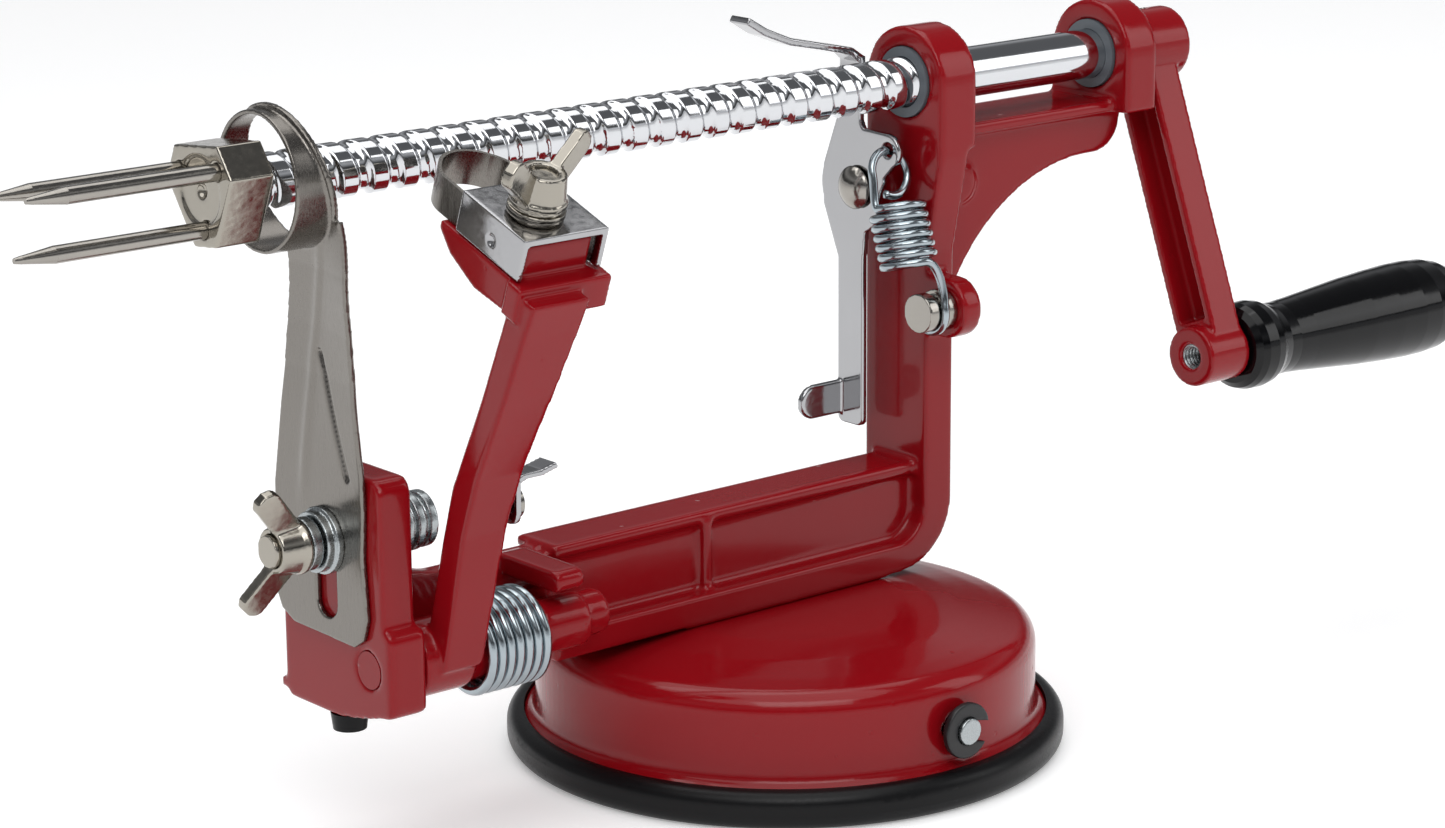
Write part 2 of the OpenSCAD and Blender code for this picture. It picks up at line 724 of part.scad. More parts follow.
module fork_prongs() {
  color(steel) for (i = [0 : 2]) translate([0, prong_at(i)[0], prong_at(i)[1]]) {
    translate([prong_tip_x, 0, 0]) rotate([0, 90, 0]) union() {
      cylinder(r1 = 0.5, r2 = 0.75, h = 1.4);
      translate([0, 0, 1.2]) cylinder(r1 = 0.7, r2 = prong_d / 2, h = 6.4);
      translate([0, 0, 7.5]) cylinder(r = prong_d / 2, h = hub_x + 4 - prong_tip_x - 7.5);
    }
  }
}

module crank_arm() {
  lean = crank_lean;
  color(red) difference() {
    union() {
      xcyl(rear_x2 + 1.2, 109.4, 7.6, screw_y, screw_z);
      xcyl(95, 106.4, 6.2, crank_y, crank_z);
      // Bar between the hubs with a long pocket in its inner face.
      translate([0, screw_y, screw_z]) rotate([-lean, 0, 0]) difference() {
        translate([98, -5.4, -crank_len]) cube([8, 10.8, crank_len]);
        translate([97, -3.6, -crank_len + 7]) cube([5.6, 7.2, crank_len - 16]);
      }
    }
    xcyl(90, 108.2, journal_r, screw_y, screw_z);
    // Tapped hole right through the lower hub.
    xcyl(90, 120, 2.6, crank_y, crank_z);
    translate([103.5, screw_y, screw_z]) rotate([-lean, 0, 0]) cylinder(r = 2, h = 9);
  }
}

module crank_pin() {
  color(steel) translate([103.5, screw_y, screw_z]) rotate([-crank_lean, 0, 0])
    translate([0, 0, 5.1]) cylinder(r = 2, h = 2.3);
}

module handle_axle() {
  color(steel) translate([0, crank_y, crank_z]) rotate([0, 90, 0]) {
    translate([0, 0, 101.5]) cylinder(r = 2.6, h = 5.1);
    translate([0, 0, 106.5]) cylinder(r = 3.2, h = 60);
    translate([0, 0, 166.4]) cylinder(r = 5, h = 2.4);
  }
}

module handle_grip() {
  color(black) translate([107, crank_y, crank_z]) rotate([0, 90, 0]) difference() {
    rotate_extrude() polygon([[3.27, 0], [7.4, 0], [8.6, 1], [9.1, 2.6], [9.2, 5.4], [8.9, 7.4],
      [8.2, 9], [7.7, 11], [7.6, 14], [7.9, 19], [8.6, 27], [9.4, 36], [9.9, 44], [10.2, 51],
      [10.2, 56], [9.9, 60.4], [9.2, 63.6], [8.2, 66], [7, 67.6], [5.6, 68.6],
      [5.4, 59.2], [3.27, 59.2]]);
    translate([0, 0, 200]) cylinder(r = 1, h = 1);
  }
}

module handle_cap() {
  color(black) translate([107, crank_y, crank_z]) rotate([0, 90, 0])
    rotate_extrude() polygon([[0, 64], [5.38, 64], [5.58, 68.6], [4, 69.4], [2, 69.9], [0, 70]]);
}

// Release lever plate in (Y, Z).
module lever_plate2() {
  difference() {
    union() {
      round2(10.6, 55.6, 18, 96, 1.5);
      translate([13.6, 104.4]) circle(r = 9.3);
      polygon([[18.2, 90], [22.4, 100], [22.4, 108], [18.4, 118], [17.4, 131], [11.4, 131],
        [11.2, 128.4], [9.55, 127], [9.55, 125.6], [11.6, 123.6], [11.6, 118], [5.6, 108],
        [10, 96], [10.6, 90]]);
      // Ear for the spring.
      translate([3.6, 113]) circle(r = 3.4);
      polygon([[3.4, 116.4], [0.6, 111.4], [8, 104], [13, 113], [11.8, 116.6]]);
    }
    translate([12.4, 104.6]) circle(r = 2.05);
    translate([3.4, 113.3]) circle(r = 1.5);
    translate([-5, 100]) circle(r = 11.5);
  }
}

module release_lever() {
  color(steel) union() {
    yz_plate(29.8, 31.2) lever_plate2();
    // Thumb tab, bent over and curled up.
    xz_plate(11.6, 17.2) polygon([[31.2, 129.6], [29.8, 129.6], [27.6, 131.4], [20, 133.2],
      [12, 134.9], [5.6, 137.4], [0.9, 140.2], [1.7, 141.4], [6.2, 138.8], [12.4, 136.3],
      [20.4, 134.5], [28.2, 132.8], [31.2, 130.8]]);
    // Finger tab at the lower end.
    xz_plate(16.6, 18) difference() {
      union() {
        box2(22.4, 57.4, 31.2, 64.2);
        translate([22.4, 60.8]) circle(r = 3.4);
      }
    }
  }
}

module release_spring() {
  foot = [29.2, -7, 82.3];
  ear = [29.2, 3.4, 113.3];
  u = unit(ear - foot);
  v = [0, -u[2], u[1]];
  x = [1, 0, 0];
  full = norm(ear - foot);
  r = 5.1;
  s0 = 9.6;
  s1 = full - 2 * r - 0.9;
  n = 150;
  // Hook round the waist of the stud.
  hook = [for (a = [285 : -15 : 90])
    foot + 3 * x + 4.1 * (cos(a) * u + sin(a) * v)];
  wound = [for (i = [0 : n]) let (a = 90 + 15 * i)
    foot + u * (s0 + (s1 - s0) * i / n) + r * (cos(a) * x + sin(a) * v)];
  up = link(hook[len(hook) - 1], 9 * u + 3 * x, wound[0], u * 2 - x * 9, 8);
  // Full loop through the hole in the lever's ear.
  eye_r = 4.5;
  eye = [for (a = [-90 : 15 : 210])
    foot + u * (full - eye_r) + eye_r * (cos(a) * u + sin(a) * x)];
  over = link(wound[n], u * 2 - v * 3, eye[0], 5 * u, 6);
  color(zinc) wire_path(concat(hook, up, wound, over, eye), 0.85, 8, [1, 0, 0]);
}

frame_casting();
front_bush();
rear_bush();
frame_foot();
pivot_rod();
torsion_spring();
blade_bolt();
blade_lock_nut();
spring_stud();
lever_rivet();
base_dome();
base_ring();
base_screws();
stem_guide();
cam_shaft();
cam_clip();
suction_lever();
lever_sleeve();
suction_stem();
suction_pad();
coring_blade();
blade_washers();
blade_wing_nut();
paring_arm();
arm_catch();
catch_rivet();
paring_blade();
blade_clamp();
clamp_bolt();
clamp_washers();
clamp_wing_nut();
thrust_washer();
drive_screw();
fork_hub();
fork_prongs();
crank_arm();
crank_pin();
handle_axle();
handle_grip();
handle_cap();
release_lever();
release_spring();
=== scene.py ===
# Apple peeler, corer and slicer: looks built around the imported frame. The scene is in metres;
# lengths below are in millimetres where they are multiplied by MM.
import json
import math

import bmesh
import bpy
import numpy as np
from mathutils import Matrix, Vector


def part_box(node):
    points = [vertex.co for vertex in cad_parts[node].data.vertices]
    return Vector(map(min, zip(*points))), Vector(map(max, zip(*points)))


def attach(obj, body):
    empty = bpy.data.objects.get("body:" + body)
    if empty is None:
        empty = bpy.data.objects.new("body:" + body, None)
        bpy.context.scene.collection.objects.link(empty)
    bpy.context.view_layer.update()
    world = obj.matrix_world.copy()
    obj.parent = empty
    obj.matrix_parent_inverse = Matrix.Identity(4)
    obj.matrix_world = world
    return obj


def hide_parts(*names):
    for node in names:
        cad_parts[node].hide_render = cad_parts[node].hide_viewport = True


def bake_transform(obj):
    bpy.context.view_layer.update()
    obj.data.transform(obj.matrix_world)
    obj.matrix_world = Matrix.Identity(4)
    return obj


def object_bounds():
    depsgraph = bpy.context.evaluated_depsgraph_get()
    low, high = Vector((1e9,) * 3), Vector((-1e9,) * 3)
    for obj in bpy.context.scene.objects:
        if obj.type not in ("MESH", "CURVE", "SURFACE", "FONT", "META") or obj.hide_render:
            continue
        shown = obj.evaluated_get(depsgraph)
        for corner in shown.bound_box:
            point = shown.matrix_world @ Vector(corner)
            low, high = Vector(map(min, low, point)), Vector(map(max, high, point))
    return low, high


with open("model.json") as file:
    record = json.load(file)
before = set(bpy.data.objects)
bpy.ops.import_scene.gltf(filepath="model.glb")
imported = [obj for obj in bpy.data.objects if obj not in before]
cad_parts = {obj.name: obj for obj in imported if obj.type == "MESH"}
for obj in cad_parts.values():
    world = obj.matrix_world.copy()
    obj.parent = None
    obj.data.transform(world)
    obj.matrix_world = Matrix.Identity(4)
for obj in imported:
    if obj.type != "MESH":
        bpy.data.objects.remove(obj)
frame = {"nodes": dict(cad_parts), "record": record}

cad_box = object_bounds()
nodes = frame["nodes"]
body_of = {n: b for b, ns in frame["record"]["behaviour"]["bodies"].items() for n in ns}
slot_of = {s["node"]: s["material_slot"] for s in frame["record"]["subparts"]}
MM = 0.001
WAVE_DEPTH = 0.0004
PIT_DEPTH = 0.00015
PIT_RIM = (0.02, 0.07)  # a pit's floor and rim, as shares of the spacing of the pits


# ---------------------------------------------------------------- materials
def finish_material(name, color, metallic=0.0, rough=0.4, rough_spread=0.05, tint=0.08,
                    tint_scale=70.0, grain=(1, 1, 1), grain_scale=1200.0, bump=0.15,
                    depth=0.00003, wave_scale=0.0, wave=0.0, coat=0.0, coat_rough=0.05,
                    ior=1.5, detail=4.0, pit_scale=0.0):
    """A procedural finish: fine grain in roughness and bump, and a slow drift of tint.

    A wave above 0 adds long swells, and a pit_scale above 0 adds small round dents."""
    mat = bpy.data.materials.new(name)
    mat.use_nodes = True
    nt = mat.node_tree
    nt.nodes.clear()
    new = nt.nodes.new
    link = nt.links.new
    out = new("ShaderNodeOutputMaterial")
    bsdf = new("ShaderNodeBsdfPrincipled")
    link(bsdf.outputs["BSDF"], out.inputs["Surface"])
    bsdf.inputs["Metallic"].default_value = metallic
    bsdf.inputs["IOR"].default_value = ior
    bsdf.inputs["Coat Weight"].default_value = coat
    bsdf.inputs["Coat Roughness"].default_value = coat_rough
    place = new("ShaderNodeTexCoord")
    stretch = new("ShaderNodeMapping")
    stretch.inputs["Scale"].default_value = grain
    link(place.outputs["Object"], stretch.inputs["Vector"])
    fine = new("ShaderNodeTexNoise")
    fine.inputs["Scale"].default_value = grain_scale
    fine.inputs["Detail"].default_value = detail
    link(stretch.outputs["Vector"], fine.inputs["Vector"])
    slow = new("ShaderNodeTexNoise")
    slow.inputs["Scale"].default_value = tint_scale
    slow.inputs["Detail"].default_value = 3.0
    link(place.outputs["Object"], slow.inputs["Vector"])
    shade = new("ShaderNodeMix")
    shade.data_type = "RGBA"
    shade.inputs["A"].default_value = [c * (1 - tint) for c in color] + [1]
    shade.inputs["B"].default_value = [min(1, c * (1 + tint)) for c in color] + [1]
    link(slow.outputs["Fac"], shade.inputs["Factor"])
    link(shade.outputs["Result"], bsdf.inputs["Base Color"])
    gloss = new("ShaderNodeMapRange")
    gloss.inputs["From Min"].default_value = 0.3
    gloss.inputs["From Max"].default_value = 0.7
    gloss.inputs["To Min"].default_value = max(0.02, rough - rough_spread)
    gloss.inputs["To Max"].default_value = rough + rough_spread
    link(fine.outputs["Fac"], gloss.inputs["Value"])
    link(gloss.outputs["Result"], bsdf.inputs["Roughness"])
    relief = new("ShaderNodeBump")
    relief.inputs["Strength"].default_value = bump
    relief.inputs["Distance"].default_value = depth
    link(fine.outputs["Fac"], relief.inputs["Height"])
    last = relief
    if wave:
        swell = new("ShaderNodeTexNoise")
        swell.inputs["Scale"].default_value = wave_scale
        swell.inputs["Detail"].default_value = 1.5
        link(place.outputs["Object"], swell.inputs["Vector"])
        ripple = new("ShaderNodeBump")
        ripple.inputs["Strength"].default_value = wave
        ripple.inputs["Distance"].default_value = WAVE_DEPTH
        link(swell.outputs["Fac"], ripple.inputs["Height"])
        link(relief.outputs["Normal"], ripple.inputs["Normal"])
        last = ripple
    if pit_scale:
        dots = new("ShaderNodeTexVoronoi")
        dots.inputs["Scale"].default_value = pit_scale
        link(place.outputs["Object"], dots.inputs["Vector"])
        bowl = new("ShaderNodeMapRange")
        bowl.inputs["From Min"].default_value, bowl.inputs["From Max"].default_value = PIT_RIM
        link(dots.outputs["Distance"], bowl.inputs["Value"])
        dent = new("ShaderNodeBump")
        dent.inputs["Strength"].default_value = 0.5
        dent.inputs["Distance"].default_value = PIT_DEPTH
        link(bowl.outputs["Result"], dent.inputs["Height"])
        link(last.outputs["Normal"], dent.inputs["Normal"])
        last = dent
    link(last.outputs["Normal"], bsdf.inputs["Normal"])
    if coat:
        link(last.outputs["Normal"], bsdf.inputs["Coat Normal"])
    return mat


MATERIALS = {
    "red_paint": finish_material(
        "red_paint", (0.255, 0.0035, 0.007), rough=0.15, rough_spread=0.03, tint=0.05,
        tint_scale=35, grain_scale=700, bump=0.05, depth=0.00004, wave_scale=160, wave=0.035,
        coat=0.12, coat_rough=0.03, ior=1.32, pit_scale=120),
    "grey_nylon": finish_material(
        "grey_nylon", (0.10, 0.115, 0.13), rough=0.42, grain_scale=1500, bump=0.1),
    "black_rubber": finish_material(
        "black_rubber", (0.003, 0.003, 0.0035), rough=0.36, rough_spread=0.07, tint=0.2,
        grain_scale=2600, bump=0.25, depth=0.00004, ior=1.3),
    "zinc_wire": finish_material(
        "zinc_wire", (0.38, 0.43, 0.46), metallic=1, rough=0.17, tint=0.1, tint_scale=220,
        grain_scale=1600, bump=0.08),
    "nickel_plate": finish_material(
        "nickel_plate", (0.37, 0.345, 0.30), metallic=1, rough=0.16, rough_spread=0.05,
        tint=0.08, grain_scale=900, bump=0.12, depth=0.00004, wave_scale=420, wave=0.09),
    "zinc_plate": finish_material(
        "zinc_plate", (0.40, 0.43, 0.44), metallic=1, rough=0.27, rough_spread=0.07, tint=0.1,
        tint_scale=180, grain_scale=1500, bump=0.12),
    "bright_steel": finish_material(
        "bright_steel", (0.36, 0.34, 0.31), metallic=1, rough=0.16, rough_spread=0.06,
        tint=0.08, grain=(0.25, 1, 1), grain_scale=2600, bump=0.12),
    "black_plastic": finish_material(
        "black_plastic", (0.006, 0.006, 0.007), rough=0.38, tint=0.15, grain_scale=1800,
        bump=0.12),
    "stainless_sheet": finish_material(
        "stainless_sheet", (0.22, 0.205, 0.187), metallic=1, rough=0.25, rough_spread=0.07,
        tint=0.06, tint_scale=45, grain=(1, 1, 0.04), grain_scale=5200, bump=0.10,
        depth=0.00002),
    "chrome_sheet": finish_material(
        "chrome_sheet", (0.42, 0.42, 0.43), metallic=1, rough=0.12, rough_spread=0.04,
        tint=0.05, grain_scale=900, bump=0.05, wave_scale=140, wave=0.05),
    "chrome_bar": finish_material(
        "chrome_bar", (0.66, 0.67, 0.69), metallic=1, rough=0.08, rough_spread=0.02,
        tint=0.03, grain=(0.3, 1, 1), grain_scale=2400, bump=0.03),
    "white_nylon": finish_material(
        "white_nylon", (0.75, 0.73, 0.68), rough=0.42, grain_scale=1500, bump=0.1),
    "black_gloss": finish_material(
        "black_gloss", (0.002, 0.002, 0.0025), rough=0.11, rough_spread=0.03, tint=0.15,
        grain_scale=900, bump=0.03, wave_scale=120, wave=0.02, ior=1.36),
}


def dress(obj, slot):
    obj.data.materials.clear()
    obj.data.materials.append(MATERIALS[slot])


def smooth_by_angle(mesh, degrees):
    mesh.shade_smooth()
    mesh.set_sharp_from_angle(angle=math.radians(degrees))


CAD_SHARP = 32
for name, obj in nodes.items():
    dress(obj, slot_of[name])
    smooth_by_angle(obj.data, CAD_SHARP)


# ------------------------------------------------------------ mesh helpers
def stand_for(obj, node):
    """The piece is shown instead of its node and takes the same finish."""
    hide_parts(node)
    dress(obj, slot_of[node])


def place_piece(obj, node):
    """The piece stands for its node and rides on the same body."""
    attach(obj, body_of[node])
    stand_for(obj, node)
    return obj


def object_from(name, verts, faces):
    """A new object from corners in metres and faces as rows of corner numbers."""
    mesh = bpy.data.meshes.new(name)
    mesh.from_pydata([tuple(v) for v in verts], [], [tuple(f) for f in faces])
    mesh.validate()
    mesh.update()
    obj = bpy.data.objects.new(name, mesh)
    bpy.context.scene.collection.objects.link(obj)
    return obj


def bake_modifiers(obj):
    """Replaces the object's mesh with what its modifiers make."""
    dg = bpy.context.evaluated_depsgraph_get()
    dg.update()
    made = bpy.data.meshes.new_from_object(obj.evaluated_get(dg))
    obj.modifiers.clear()
    obj.data = made


def soften(node, voxel, rounds):
    """A copy of the node's solid with its sharp edges rolled over.

    It is cut into voxels of that many millimetres and then smoothed for that many rounds."""
    mesh = nodes[node].data.copy()
    bm = bmesh.new()
    bm.from_mesh(mesh)
    bmesh.ops.remove_doubles(bm, verts=bm.verts, dist=1e-6)
    bm.to_mesh(mesh)
    bm.free()
    mesh.name = node + "_soft"
    obj = bpy.data.objects.new(node + "_soft", mesh)
    bpy.context.scene.collection.objects.link(obj)
    remesh = obj.modifiers.new("remesh", "REMESH")
    remesh.mode = "VOXEL"
    remesh.voxel_size = voxel * MM
    relax = obj.modifiers.new("relax", "SMOOTH")
    relax.factor = 0.5
    relax.iterations = rounds
    bake_modifiers(obj)
    obj.data.shade_smooth()
    return place_piece(obj, node)


def ramp(value, low, high):
    """Smooth step from 0 at low to 1 at high."""
    t = np.clip((value - low) / (high - low), 0, 1)
    return t * t * (3 - 2 * t)


def plateau(value, rise, fall):
    """Smooth step up over the span rise and down again over the span fall."""
    return ramp(value, *rise) * (1 - ramp(value, *fall))


def ridge(distance, width):
    """1 on the line, falling off smoothly to both sides of it."""
    return np.exp(-(distance / width) ** 2)


def tube_faces(rows, columns):
    """Four-sided faces between neighbouring rings of corners."""
    return [(i * columns + j, i * columns + (j + 1) % columns,
             (i + 1) * columns + (j + 1) % columns, (i + 1) * columns + j)
            for i in range(rows - 1) for j in range(columns)]


def box_mm(node):
    """The node's lowest and highest corner in millimetres."""
    return [np.array(corner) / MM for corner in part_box(node)]


def points_of(obj):
    """The mesh's corners in millimetres, as an array."""
    co = np.zeros(len(obj.data.vertices) * 3)
    obj.data.vertices.foreach_get("co", co)
    return co.reshape(-1, 3) / MM


def set_points(obj, co):
    """Moves the mesh's corners to positions in millimetres."""
    obj.data.vertices.foreach_set("co", (co * MM).ravel())
    obj.data.update()


# Cast, pressed and turned pieces: node, voxel in millimetres, rounds of smoothing.
for node, voxel, rounds in (
        ("frame_casting", 0.55, 8), ("paring_arm", 0.36, 9), ("crank_arm", 0.4, 7),
        ("base_dome", 0.6, 3), ("fork_hub", 0.3, 4), ("blade_wing_nut", 0.25, 7),
        ("clamp_wing_nut", 0.25, 7), ("blade_clamp", 0.22, 3), ("release_lever", 0.3, 2),
        ("arm_catch", 0.25, 2), ("spring_stud", 0.22, 3), ("lever_rivet", 0.25, 4),
        ("blade_bolt", 0.25, 3), ("blade_washers", 0.2, 2), ("clamp_washers", 0.2, 3),
        ("blade_lock_nut", 0.25, 3), ("cam_shaft", 0.25, 3), ("cam_clip", 0.25, 4),
        ("suction_lever", 0.3, 3), ("lever_sleeve", 0.35, 5)):
    soften(node, voxel, rounds)


# ----------------------------------------------------------- coring blade
# The sheet is folded along a line that drops from the ring towards the far edge.
FOLD_Z = [60, 69.3, 80.8, 92.5, 101.9, 111.4, 122.5]
FOLD_Y = [13.0, 11.2, 9.0, 6.4, 3.3, 0.3, -3.1]
FOLD_SLOPE, FOLD_BEND = 0.17, 2.5     # lean of the near side, width over which it sets in
FOLD_START, FOLD_LENGTH = 67, 38      # heights over which the lean grows to its full size
FOLD_FADE = (108, 119)
RIB_HEIGHT, RIB_WIDTH = 0.4, 1.5      # low rib along the fold
RIB_RISE, RIB_FADE = (62, 74), (108, 121)
# The pressed groove runs from the middle of the sheet down to its cutting edge.
PRESS_Z, PRESS_Y = [71.8, 94.9], [-3.1, 4.0]
PRESS_DEPTH, PRESS_WIDTH = 0.4, 0.75
PRESS_RISE, PRESS_FADE = (71.2, 73), (93.8, 95.4)

blade = soften("coring_blade", 0.26, 3)
co = points_of(blade)
height = co[:, 2]
across = np.interp(height, FOLD_Z, FOLD_Y) - co[:, 1]
past = np.clip(across, 0, None)
share = np.clip((height - FOLD_START) / FOLD_LENGTH, 0, 1) * (1 - ramp(height, *FOLD_FADE))
co[:, 0] -= FOLD_SLOPE * share * past * ramp(past, 0, FOLD_BEND)
co[:, 0] -= RIB_HEIGHT * plateau(height, RIB_RISE, RIB_FADE) * ridge(across, RIB_WIDTH)
beside = co[:, 1] - np.interp(height, PRESS_Z, PRESS_Y)
co[:, 0] += PRESS_DEPTH * plateau(height, PRESS_RISE, PRESS_FADE) * ridge(beside, PRESS_WIDTH)
set_points(blade, co)


# ------------------------------------------------------------- wire springs
def link_points(p0, d0, p1, d1, n):
    """n - 1 points of a smooth curve between two ends with given end directions."""
    s = np.arange(1, n)[:, None] / n
    return (p0 * (2 * s ** 3 - 3 * s * s + 1) + d0 * (s ** 3 - 2 * s * s + s)
            + p1 * (3 * s * s - 2 * s ** 3) + d1 * (s ** 3 - s * s))


def around(angles, first, second):
    """Unit circle at angles in degrees, in the plane of two directions."""
    a = np.radians(angles)[:, None]
    return np.cos(a) * first + np.sin(a) * second


WIRE_SIDES = 14
TURN_STEP = 7.5  # degrees between the points of a coil


def wire(node, path, radius):
    """A round wire along a path in millimetres, its ends closed with small cones.

    It is shown instead of node and takes the node's finish."""
    heading = np.gradient(path, axis=0)
    heading /= np.linalg.norm(heading, axis=1)[:, None]
    side = np.cross(heading[0], (0.3, 0.5, 0.81))  # any direction that is not the wire's own
    rings = []
    for p, t in zip(path, heading):
        side = side - side.dot(t) * t
        side /= np.linalg.norm(side)
        other = np.cross(t, side)
        a = np.linspace(0, 2 * np.pi, WIRE_SIDES, endpoint=False)[:, None]
        rings.append(p + radius * (np.cos(a) * side + np.sin(a) * other))
    verts = np.concatenate(rings + [path[:1] - 0.5 * radius * heading[0],
                                    path[-1:] + 0.5 * radius * heading[-1]])
    faces = tube_faces(len(path), WIRE_SIDES)
    last = (len(path) - 1) * WIRE_SIDES
    for j in range(WIRE_SIDES):
        k = (j + 1) % WIRE_SIDES
        faces.append((j, len(verts) - 2, k))
        faces.append((last + k, len(verts) - 1, last + j))
    obj = object_from(node + "_wire", verts * MM, [f[::-1] for f in faces])
    obj.data.shade_smooth()
    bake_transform(obj)
    stand_for(obj, node)


# Torsion spring: a coil round the paring arm's pivot, with one straight end in the arm and one
# in the frame's boss.
x_dir = np.array([1.0, 0, 0])
pivot = np.array([0, -5.6, 37.3])
torsion_wire, coil_r, first_x, last_x = 0.95, 8.4, -81.7, -68.4
first_turn, turns_wound = 62, 2355  # degrees
arm_tang, boss_tang = 3.6, 3.4
arm_gap, boss_gap = 1.1, 1.5  # from the coil to where each tang starts
turn = np.radians(first_turn + np.arange(0, turns_wound + 0.1, TURN_STEP))
wound = np.stack([np.linspace(first_x, last_x, len(turn)), pivot[1] - coil_r * np.sin(turn),
                  pivot[2] + coil_r * np.cos(turn)], 1)
half = coil_r * math.sqrt(0.5)
arm_end = np.array([first_x - arm_gap, pivot[1] - half, pivot[2] + half])
boss_end = np.array([last_x + boss_gap, pivot[1] + coil_r, pivot[2]])
torsion_path = np.concatenate([
    [arm_end - arm_tang * x_dir, arm_end],
    link_points(arm_end, 3 * x_dir, wound[0], np.array([0.3, -1, -2.2]), 8), wound,
    link_points(wound[-1], np.array([0.3, 0.3, 2.2]), boss_end, 3 * x_dir, 8),
    [boss_end, boss_end + boss_tang * x_dir]])
wire("torsion_spring", torsion_path, torsion_wire)

# Release spring: a hook on the frame's stud, a coil, and an eye in the release lever's ear.
foot, ear = np.array([29.2, -7, 82.3]), np.array([29.2, 3.4, 113.3])
full = np.linalg.norm(ear - foot)
up_dir = (ear - foot) / full
out_dir = np.array([0, -up_dir[2], up_dir[1]])
release_wire, hook_r, wound_r, eye_r = 0.85, 4.1, 5.1, 4.5
hook_side = 3  # the hook's offset along the stud
low, high = 9.6, full - 2 * wound_r - 0.9  # ends of the coil, from the foot towards the ear
hook_angles = np.arange(285, 89, -TURN_STEP)
coil_angles = 90 + np.arange(0, 2250.1, TURN_STEP)
eye_angles = np.arange(-90, 211, TURN_STEP)
hook = foot + hook_side * x_dir + hook_r * around(hook_angles, up_dir, out_dir)
wound = (foot + np.linspace(low, high, len(coil_angles))[:, None] * up_dir
         + wound_r * around(coil_angles, x_dir, out_dir))
eye = foot + (full - eye_r) * up_dir + eye_r * around(eye_angles, up_dir, x_dir)
release_path = np.concatenate([
    hook, link_points(hook[-1], 9 * up_dir + 3 * x_dir, wound[0], 2 * up_dir - 9 * x_dir, 14),
    wound, link_points(wound[-1], 2 * up_dir - 3 * out_dir, eye[0], 5 * up_dir, 10), eye])
wire("release_spring", release_path, release_wire)


# --------------------------------------------------------------- feed screw
# A shallow round-bottomed groove winds along the bar and fades out at both ends.
PITCH, GROOVE_DEEP, GROOVE_HALF = 6.5, 0.85, 1.7
CREST_R, SHAFT_R = 5.0, 5.05          # grooved length, plain shaft
GROOVE_FROM, GROOVE_TO = -113.5, 36.2  # where the groove is at its full depth
FADE_IN, FADE_OUT = 2.5, 2
GROOVE_PHASE = -112.5                 # where along the bar the groove crosses its far side
FLANK_STEEP, FLANK_ROUND = 1.2, 2.4
CREST_BLEND = 1                       # length over which the bar grows to the plain shaft
SCREW_STEP, SCREW_COLUMNS, SCREW_SHARP = 0.2, 72, 38
FINE_TAIL, SHAFT_RINGS = 3, 12        # fine rings past the groove, rings of the plain shaft

screw_low, screw_high = box_mm("drive_screw")
axis_y, axis_z = (screw_low[1] + screw_high[1]) / 2, (screw_low[2] + screw_high[2]) / 2
xs = np.arange(screw_low[0], GROOVE_TO + FINE_TAIL, SCREW_STEP)
xs = np.concatenate([xs, np.linspace(xs[-1] + SCREW_STEP, screw_high[0], SHAFT_RINGS)])
theta = np.linspace(0, 2 * np.pi, SCREW_COLUMNS, endpoint=False)
X, T = np.meshgrid(xs, theta, indexing="ij")
phase = (X - GROOVE_PHASE) / PITCH - T / (2 * np.pi)
away = np.abs(phase - np.round(phase)) * PITCH
cutting = plateau(X, (GROOVE_FROM - FADE_IN, GROOVE_FROM), (GROOVE_TO - FADE_OUT, GROOVE_TO))
flank = np.clip(np.clip(1 - away / GROOVE_HALF, 0, 1) * FLANK_STEEP, 0, 1)
R = (CREST_R + (SHAFT_R - CREST_R) * ramp(X, GROOVE_TO, GROOVE_TO + CREST_BLEND)
     - cutting * GROOVE_DEEP * (1 - (1 - flank) ** FLANK_ROUND))
verts = np.stack([X, axis_y + R * np.cos(T), axis_z + R * np.sin(T)], -1).reshape(-1, 3)
rows = len(xs)
faces = tube_faces(rows, SCREW_COLUMNS)
faces.append(tuple(range(SCREW_COLUMNS))[::-1])
faces.append(tuple((rows - 1) * SCREW_COLUMNS + j for j in range(SCREW_COLUMNS)))
screw = object_from("drive_screw_thread", verts * MM, faces)
smooth_by_angle(screw.data, SCREW_SHARP)
place_piece(screw, "drive_screw")


# ---------------------------------------------- tapped hole in the lower crank hub
# A threaded sleeve that lines the hole from the hub's face to the end of the handle's axle.
TAP_PITCH, TAP_CREST_R, TAP_DEPTH, SLEEVE_R = 1.0, 2.05, 0.55, 2.75
TAP_FLANK = (0.15, 0.85)
TAP_STEP, TAP_COLUMNS = 0.09, 48
FACE_INSET, AXLE_GAP = 0.5, 0.05

axle_low, axle_high = box_mm("handle_axle")
hole_y, hole_z = (axle_low[1] + axle_high[1]) / 2, (axle_low[2] + axle_high[2]) / 2
hub_face = box_mm("crank_arm")[0][0]
xs = np.arange(hub_face + FACE_INSET, axle_low[0] - AXLE_GAP, TAP_STEP)
theta = np.linspace(0, 2 * np.pi, TAP_COLUMNS, endpoint=False)
X, T = np.meshgrid(xs, theta, indexing="ij")
tooth = np.abs(((X / TAP_PITCH - T / (2 * np.pi)) % 1.0) - 0.5) * 2
R = TAP_CREST_R + TAP_DEPTH * ramp(tooth, *TAP_FLANK)
inner, outer = [np.stack([X, hole_y + r * np.cos(T), hole_z + r * np.sin(T)], -1).reshape(-1, 3)
                for r in (R, SLEEVE_R)]
rows = len(xs)
skin = rows * TAP_COLUMNS  # the outer wall's corners follow the inner wall's
faces = []
for face in tube_faces(rows, TAP_COLUMNS):
    faces += [face[::-1], tuple(skin + v for v in face)]
last = (rows - 1) * TAP_COLUMNS
for j in range(TAP_COLUMNS):
    k = (j + 1) % TAP_COLUMNS
    faces += [(j, k, skin + k, skin + j), (last + k, last + j, skin + last + j, skin + last + k)]
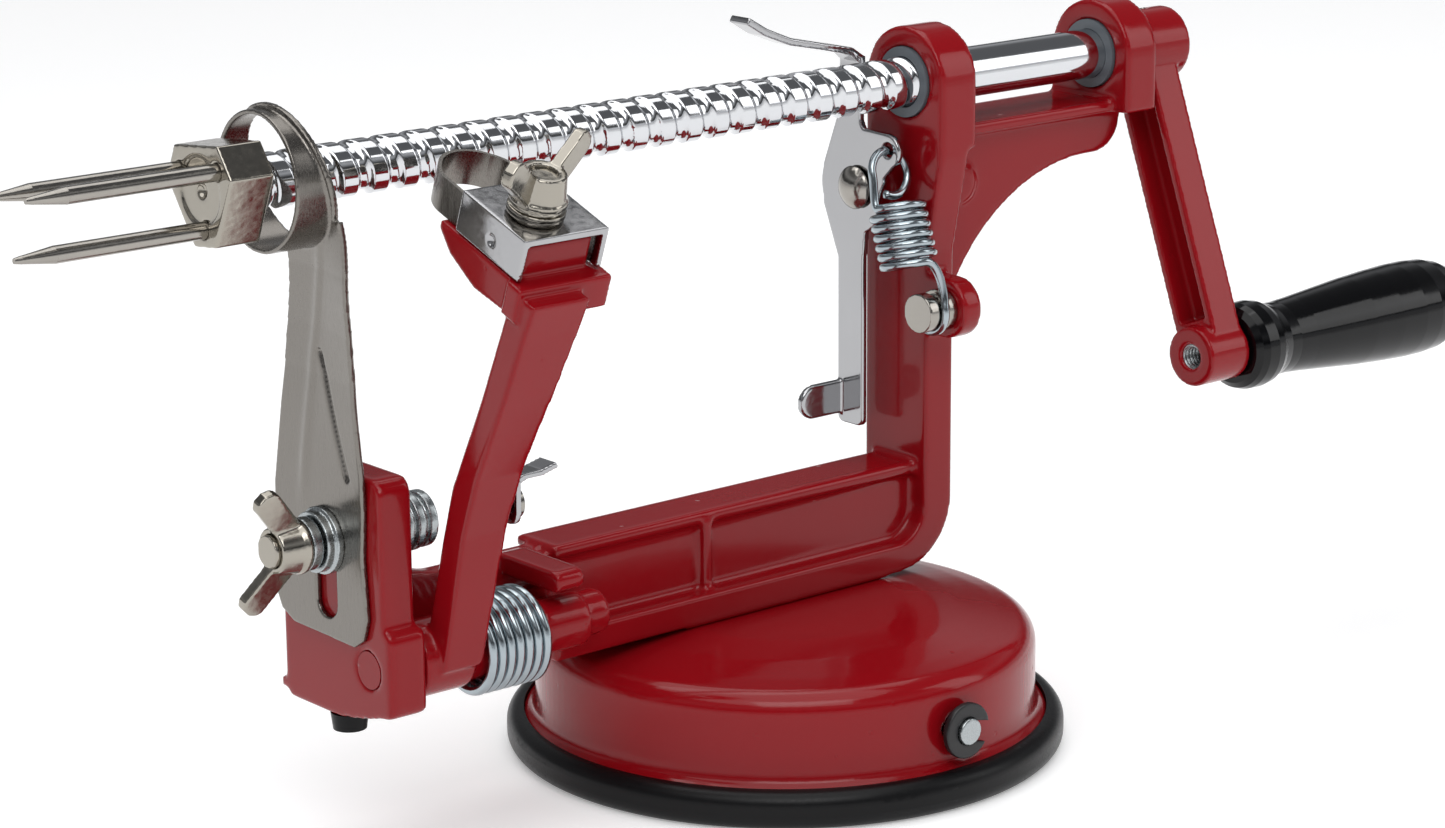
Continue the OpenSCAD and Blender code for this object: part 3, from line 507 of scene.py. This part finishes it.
tapped = object_from("tapped_hole", np.concatenate([inner, outer]) * MM, faces)
tapped.data.shade_smooth()
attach(tapped, body_of["crank_arm"])
dress(tapped, "zinc_plate")


# ------------------------------------------------------------------ stage
REACH = 6  # metres from the middle of the floor to its sides
floor = object_from("floor", [(-REACH, -REACH, 0), (REACH, -REACH, 0), (REACH, REACH, 0),
                              (-REACH, REACH, 0)], [(0, 1, 2, 3)])
floor_mat = finish_material("floor_paper", (0.86, 0.86, 0.86), rough=0.9, tint=0.01,
                            grain_scale=400, bump=0.02)
floor_glow = floor_mat.node_tree.nodes["Principled BSDF"]
floor_glow.inputs["Emission Color"].default_value = (1, 1, 1, 1)
floor_glow.inputs["Emission Strength"].default_value = 0.3
floor.data.materials.append(floor_mat)

# Soft studio: the sky's light depends on direction only. Its bands run from the horizon and
# below (0) to straight up (1), bright and dark for the chrome to reflect.
SKY_BANDS = ((0.1, 1.2), (0.15, 0.1), (0.24, 0.12), (0.42, 0.8), (0.62, 0.25))
SKY_STRENGTH = 0.5
world = bpy.data.worlds.new("studio")
bpy.context.scene.world = world
world.use_nodes = True
wt = world.node_tree
wt.nodes.clear()
w_out = wt.nodes.new("ShaderNodeOutputWorld")
w_bg = wt.nodes.new("ShaderNodeBackground")
w_place = wt.nodes.new("ShaderNodeTexCoord")
w_split = wt.nodes.new("ShaderNodeSeparateXYZ")
w_ramp = wt.nodes.new("ShaderNodeValToRGB")
stops = w_ramp.color_ramp.elements
stops[0].position, stops[0].color = 0.0, (1.3, 1.3, 1.32, 1)
stops[1].position, stops[1].color = 1.0, (0.22, 0.23, 0.25, 1)
for at, level in SKY_BANDS:
    stop = stops.new(at)
    stop.color = (level, level * 1.02, level * 1.06, 1)
wt.links.new(w_place.outputs["Generated"], w_split.inputs["Vector"])
wt.links.new(w_split.outputs["Z"], w_ramp.inputs["Fac"])
wt.links.new(w_ramp.outputs["Color"], w_bg.inputs["Color"])
w_bg.inputs["Strength"].default_value = SKY_STRENGTH
wt.links.new(w_bg.outputs["Background"], w_out.inputs["Surface"])
bpy.context.scene.view_settings.view_transform = "Standard"


centre = (cad_box[0] + cad_box[1]) / 2


def lamp_at(data, offset):
    """Hangs a lamp at an offset from the object's centre, turned towards it."""
    spot = centre + Vector(offset)
    lamp = bpy.data.objects.new(data.name, data)
    bpy.context.scene.collection.objects.link(lamp)
    lamp.location = spot
    lamp.rotation_mode = "QUATERNION"
    lamp.rotation_quaternion = (centre - spot).to_track_quat("-Z", "Y")


def softbox(name, offset, width, height, power, specular=1.0):
    data = bpy.data.lights.new(name, "AREA")
    data.shape = "RECTANGLE"
    data.size = width
    data.size_y = height
    data.energy = power
    data.specular_factor = specular
    lamp_at(data, offset)


sun = bpy.data.lights.new("sky", "SUN")
sun.energy = 1.6
sun.angle = math.radians(70)
sun.specular_factor = 0.0
lamp_at(sun, (-0.3, -0.2, 1.2))
softbox("key", (-0.45, -0.75, 0.8), 0.8, 0.5, 3.0)
softbox("fill", (0.8, -0.7, 0.5), 0.4, 0.7, 1.6)
softbox("top", (0.1, 0.3, 0.8), 1.0, 0.5, 2.2, specular=0.0)


# ----------------------------------------------------------------- camera
azimuth, elevation, roll = math.radians(-40.35), math.radians(14.88), math.radians(-0.28)
target = Vector((-8.25, 0.1, 64.5)) * MM
distance = 745.96 * MM
back = Vector((math.sin(azimuth) * math.cos(elevation), -math.cos(azimuth) * math.cos(elevation),
               math.sin(elevation)))
right = Vector((math.cos(azimuth), math.sin(azimuth), 0))
up = back.cross(right)
right, up = (math.cos(roll) * right + math.sin(roll) * up,
             math.cos(roll) * up - math.sin(roll) * right)
lens = bpy.data.cameras.new("camera")
lens.sensor_width = 36
lens.lens = 96.42
lens.shift_x = -0.02015
lens.shift_y = 0.00874
lens.clip_start = 0.05
lens.clip_end = 30
camera = bpy.data.objects.new("camera", lens)
bpy.context.scene.collection.objects.link(camera)
camera.matrix_world = Matrix.Translation(target + back * distance) @ Matrix(
    (right, up, back)).transposed().to_4x4()
bpy.context.scene.camera = camera
